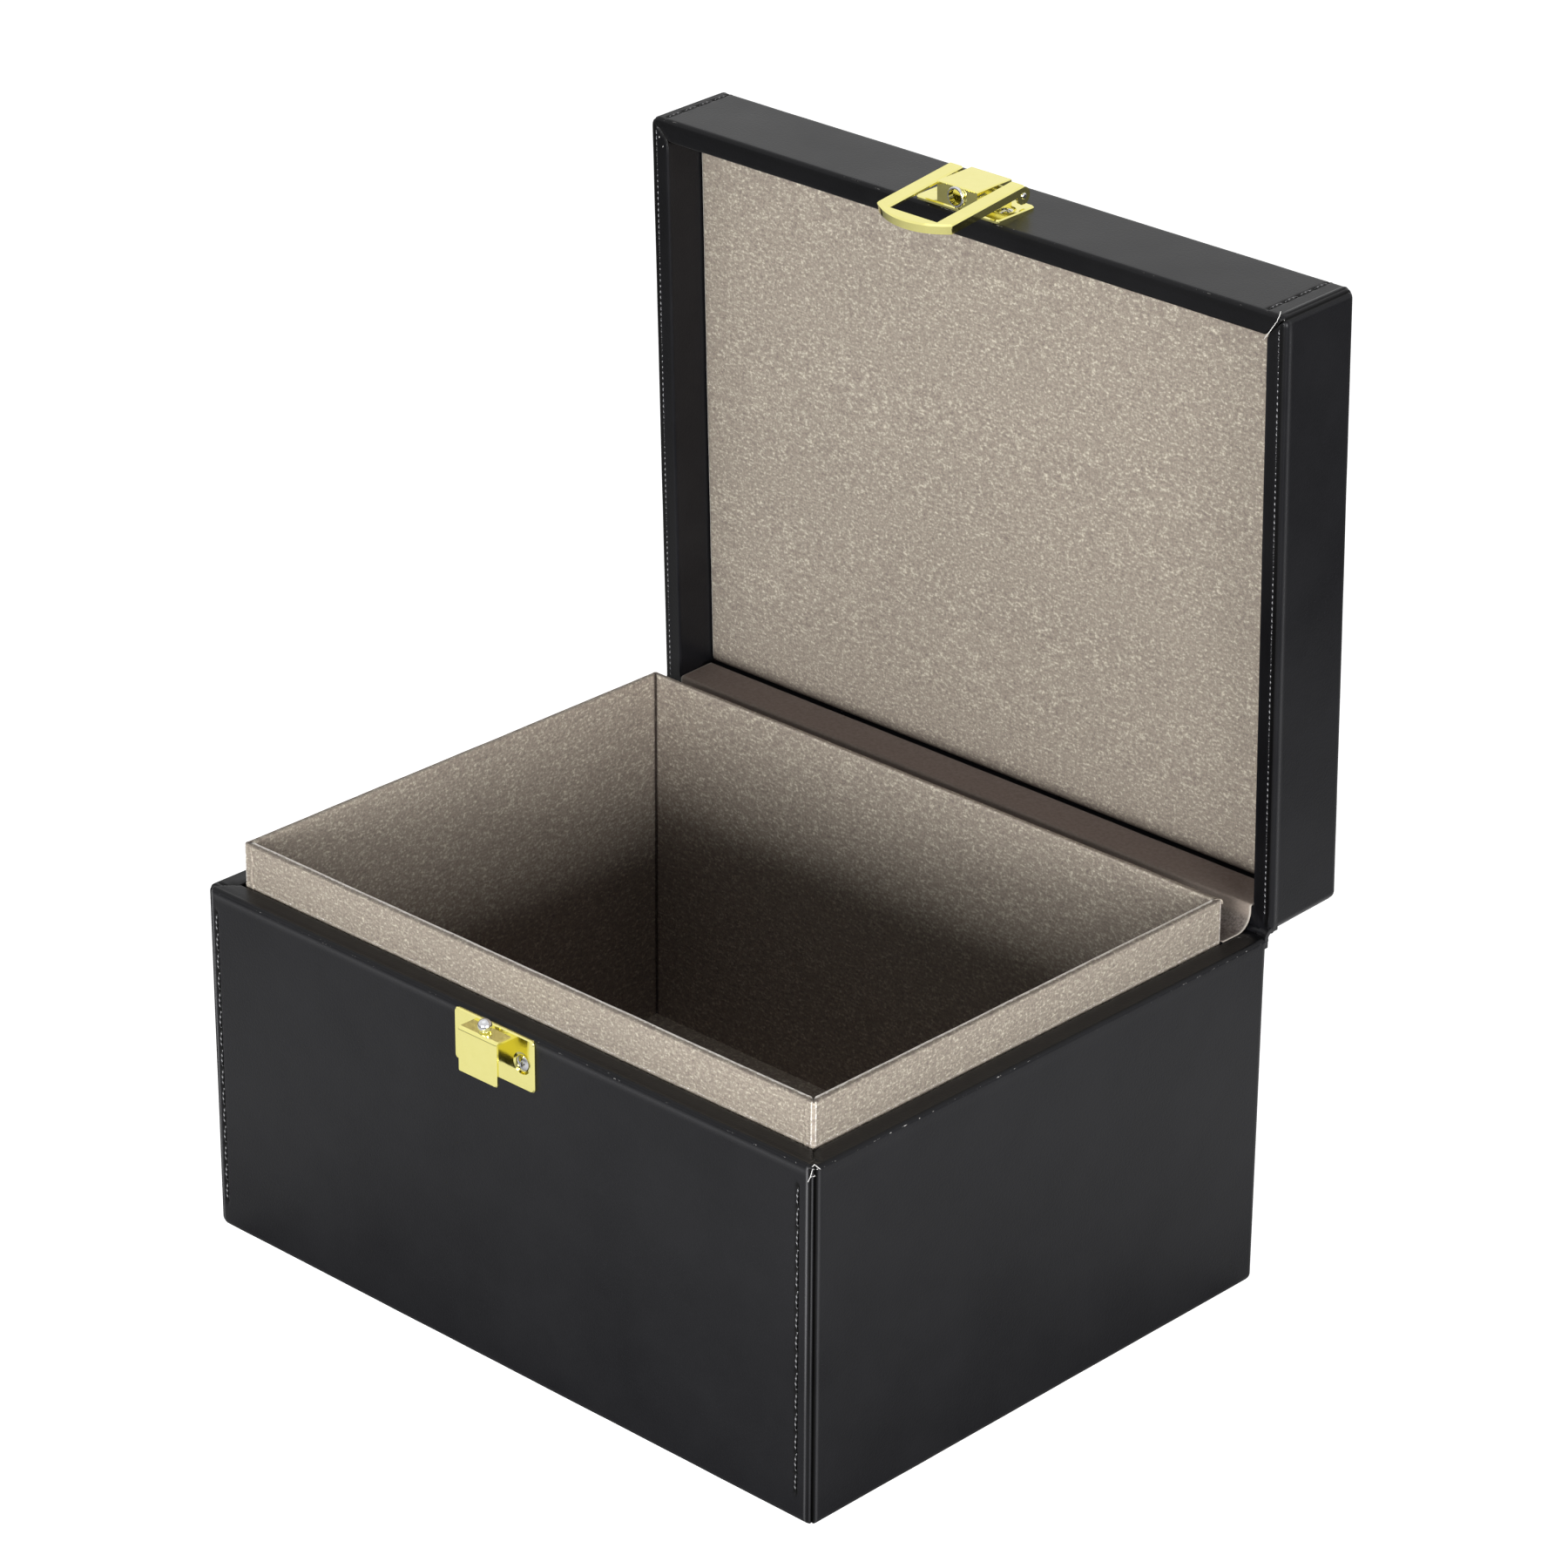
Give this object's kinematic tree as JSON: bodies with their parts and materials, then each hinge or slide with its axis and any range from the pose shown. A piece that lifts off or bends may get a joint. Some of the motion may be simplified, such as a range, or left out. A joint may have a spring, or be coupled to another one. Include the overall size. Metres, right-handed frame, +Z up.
{
  "type": "faraday key box",
  "caption": "Leather-covered key box with a fabric-lined shielding liner that stands above the rim, a hinged recessed lid and a metal hasp clasp.",
  "frame": {"origin": "centre of the underside", "axes": "+X to the right of the clasp side, +Y to the hinge at the back, +Z up; the lid is drawn open"},
  "size_m": [0.2, 0.1877, 0.2557],
  "materials": {
    "leather": "satin",
    "board": "matte",
    "shield_fabric": "satin",
    "lining_card": "matte",
    "hinge_strip": "matte",
    "pad": "matte",
    "gold": "polished",
    "steel": "polished",
    "bottom_cover": "matte"
  },
  "bodies": {
    "base": {"base_front_board": "board", "base_back_board": "board", "base_left_board": "board", "base_right_board": "board", "base_bottom_board": "board", "rear_ledge": "board", "base_front_leather": "leather", "base_back_leather": "leather", "base_left_leather": "leather", "base_right_leather": "leather", "rear_rim_leather": "leather", "base_bottom_cover": "bottom_cover", "liner_front_board": "lining_card", "liner_back_board": "lining_card", "liner_left_board": "lining_card", "liner_right_board": "lining_card", "liner_floor_board": "lining_card", "shield_front_fabric": "shield_fabric", "shield_back_fabric": "shield_fabric", "shield_left_fabric": "shield_fabric", "shield_right_fabric": "shield_fabric", "shield_floor_fabric": "shield_fabric", "hinge_leather": "leather", "hinge_lining": "hinge_strip", "catch_plate": "gold", "ball_stud": "steel", "catch_screws": "steel"},
    "lid": {"lid_top_board": "board", "lid_front_board": "board", "lid_back_board": "board", "lid_left_board": "board", "lid_right_board": "board", "lid_wrap_leather": "leather", "lid_left_leather": "leather", "lid_right_leather": "leather", "lid_rear_rim_leather": "leather", "lining_board": "lining_card", "lining_fabric": "shield_fabric", "lid_pad": "pad", "clasp_plate": "gold", "clasp_cover": "gold", "socket_ring": "gold", "hasp_pin": "gold", "clasp_screws": "steel"},
    "hasp": {"hasp_frame": "gold"}
  },
  "joints": [
    {"name": "lid_hinge", "type": "hinge", "parent": "base", "child": "lid", "pos_m": [0, 0.078, 0.09315], "axis": [1, 0, 0], "range_deg": [0, 88.3], "deforming": ["hinge_leather", "hinge_lining"]},
    {"name": "hasp_hinge", "type": "hinge", "parent": "lid", "child": "hasp", "pos_m": [0, 0.08511, 0.25303], "axis": [-1, 0, 0], "range_deg": [0, 110]}
  ]
}
